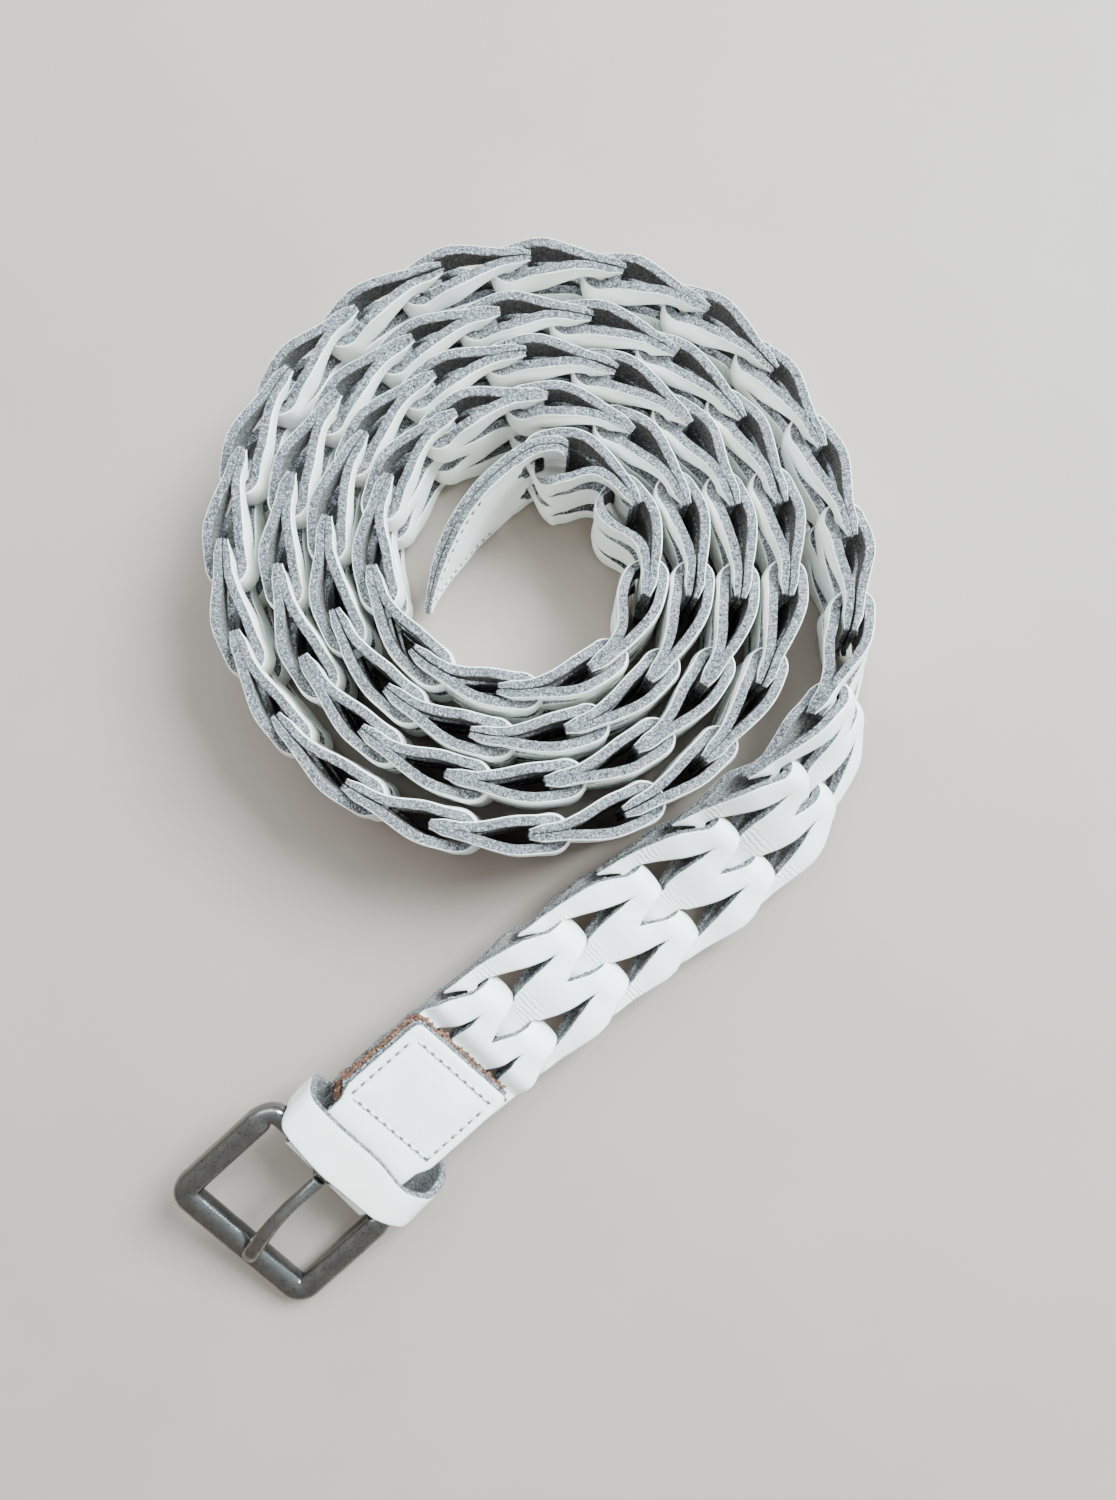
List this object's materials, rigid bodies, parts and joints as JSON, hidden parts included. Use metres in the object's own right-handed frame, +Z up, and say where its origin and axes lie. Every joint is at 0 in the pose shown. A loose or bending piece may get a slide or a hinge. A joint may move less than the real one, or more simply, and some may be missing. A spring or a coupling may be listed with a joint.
{
  "type": "interlocking link belt",
  "caption": "Waist belt woven from folded leather links, coiled on edge, with a pointed stitched tip, a stitched tab, keeper, rectangular buckle and prong.",
  "frame": {"origin": "the coil's axis where it meets the floor the coil stands on", "axes": "+Z up along the coil's axis; X and Y on the floor, the buckle end running out towards -X -Y"},
  "size_m": [0.1372, 0.2071, 0.0264],
  "materials": {
    "white_leather": "smooth ivory grain with raw fibrous cut edges",
    "tan_leather": "raw tan filler leather",
    "thread": "waxed thread",
    "antique_metal": "antique silver, dark in the recesses and worn bright on the edges"
  },
  "bodies": {
    "coil": {"link_00": "white_leather", "link_01": "white_leather", "link_02": "white_leather", "link_03": "white_leather", "link_04": "white_leather", "link_05": "white_leather", "links_06_07": "white_leather", "links_08_09": "white_leather", "links_10_11": "white_leather", "links_12_13": "white_leather", "links_14_15": "white_leather", "links_16_17": "white_leather", "links_18_19": "white_leather", "links_20_21": "white_leather", "links_22_23": "white_leather", "links_24_25": "white_leather", "links_26_27": "white_leather", "links_28_29": "white_leather", "links_30_31": "white_leather", "links_32_33": "white_leather", "links_34_35": "white_leather", "links_36_37": "white_leather", "links_38_39": "white_leather", "links_40_41": "white_leather", "links_42_43": "white_leather", "links_44_45": "white_leather", "links_46_47": "white_leather", "links_48_49": "white_leather", "link_50": "white_leather", "link_51": "white_leather", "link_52": "white_leather"},
    "tip": {"tip_front": "white_leather", "tip_back": "white_leather", "tip_stitching": "thread"},
    "link_53": {"link_53": "white_leather"},
    "link_54": {"link_54": "white_leather"},
    "link_55": {"link_55": "white_leather"},
    "link_56": {"link_56": "white_leather"},
    "link_57": {"link_57": "white_leather"},
    "link_58": {"link_58": "white_leather"},
    "link_59": {"link_59": "white_leather"},
    "link_60": {"link_60": "white_leather"},
    "link_61": {"link_61": "white_leather"},
    "link_62": {"link_62": "white_leather"},
    "link_63": {"link_63": "white_leather"},
    "link_64": {"link_64": "white_leather"},
    "link_65": {"link_65": "white_leather"},
    "link_66": {"link_66": "white_leather"},
    "buckle_end": {"link_67": "white_leather", "buckle_tab": "white_leather", "tab_core": "tan_leather", "tab_stitching": "thread"},
    "keeper": {"keeper_loop": "white_leather"},
    "buckle": {"buckle_frame": "antique_metal"},
    "prong": {"buckle_prong": "antique_metal"}
  },
  "joints": [
    {"name": "tip_curl", "type": "hinge", "parent": "coil", "child": "tip", "pos_m": [0.00621, 0.02116, 0.0125], "axis": [0, 0, 1], "range_deg": [0, 8]},
    {"name": "pivot_53", "type": "hinge", "parent": "coil", "child": "link_53", "pos_m": [-0.03402, 0.04704, 0.0125], "axis": [0, 0, 1], "range_deg": [0, 8]},
    {"name": "pivot_54", "type": "hinge", "parent": "link_53", "child": "link_54", "pos_m": [-0.01828, 0.05561, 0.0125], "axis": [0, 0, 1], "range_deg": [0, 8]},
    {"name": "pivot_55", "type": "hinge", "parent": "link_54", "child": "link_55", "pos_m": [-0.00067, 0.05898, 0.0125], "axis": [0, 0, 1], "range_deg": [0, 8]},
    {"name": "pivot_56", "type": "hinge", "parent": "link_55", "child": "link_56", "pos_m": [0.01714, 0.05688, 0.0125], "axis": [0, 0, 1], "range_deg": [0, 8]},
    {"name": "pivot_57", "type": "hinge", "parent": "link_56", "child": "link_57", "pos_m": [0.03351, 0.04956, 0.0125], "axis": [0, 0, 1], "range_deg": [0, 8]},
    {"name": "pivot_58", "type": "hinge", "parent": "link_57", "child": "link_58", "pos_m": [0.04697, 0.03771, 0.0125], "axis": [0, 0, 1], "range_deg": [0, 8]},
    {"name": "pivot_59", "type": "hinge", "parent": "link_58", "child": "link_59", "pos_m": [0.05635, 0.02243, 0.0125], "axis": [0, 0, 1], "range_deg": [0, 8]},
    {"name": "pivot_60", "type": "hinge", "parent": "link_59", "child": "link_60", "pos_m": [0.06195, 0.00534, 0.01251], "axis": [-0.0024, -0.0005, 1], "range_deg": [0, 8]},
    {"name": "pivot_61", "type": "hinge", "parent": "link_60", "child": "link_61", "pos_m": [0.0639, -0.01251, 0.01306], "axis": [-0.1551, 0.0006, 0.9879], "range_deg": [0, 8]},
    {"name": "pivot_62", "type": "hinge", "parent": "link_61", "child": "link_62", "pos_m": [0.06078, -0.03016, 0.01323], "axis": [-0.4403, 0.1119, 0.8909], "range_deg": [0, 8]},
    {"name": "pivot_63", "type": "hinge", "parent": "link_62", "child": "link_63", "pos_m": [0.05204, -0.04579, 0.01179], "axis": [-0.6336, 0.3914, 0.6673], "range_deg": [0, 8]},
    {"name": "pivot_64", "type": "hinge", "parent": "link_63", "child": "link_64", "pos_m": [0.03899, -0.05812, 0.00934], "axis": [-0.6396, 0.6508, 0.4091], "range_deg": [0, 8]},
    {"name": "pivot_65", "type": "hinge", "parent": "link_64", "child": "link_65", "pos_m": [0.02413, -0.06828, 0.00805], "axis": [-0.6291, 0.7271, 0.2748], "range_deg": [0, 8]},
    {"name": "pivot_66", "type": "hinge", "parent": "link_65", "child": "link_66", "pos_m": [0.00961, -0.0789, 0.00897], "axis": [-0.683, 0.6772, 0.2737], "range_deg": [0, 8]},
    {"name": "pivot_67", "type": "hinge", "parent": "link_66", "child": "buckle_end", "pos_m": [-0.00456, -0.09, 0.00947], "axis": [-0.6828, 0.6774, 0.2737], "range_deg": [0, 8]},
    {"name": "keeper_slide", "type": "slide", "parent": "buckle_end", "child": "keeper", "axis": [0.7547, 0.6559, 0.0144], "range_m": [0, 0.005]},
    {"name": "buckle_swing", "type": "hinge", "parent": "buckle_end", "child": "buckle", "pos_m": [-0.03647, -0.11496, 0.01026], "axis": [-0.6723, 0.6877, 0.2741], "range_deg": [0, 20]},
    {"name": "prong_lift", "type": "hinge", "parent": "buckle", "child": "prong", "pos_m": [-0.03647, -0.11496, 0.01026], "axis": [-0.6723, 0.6877, 0.2741], "range_deg": [0, 75]}
  ]
}
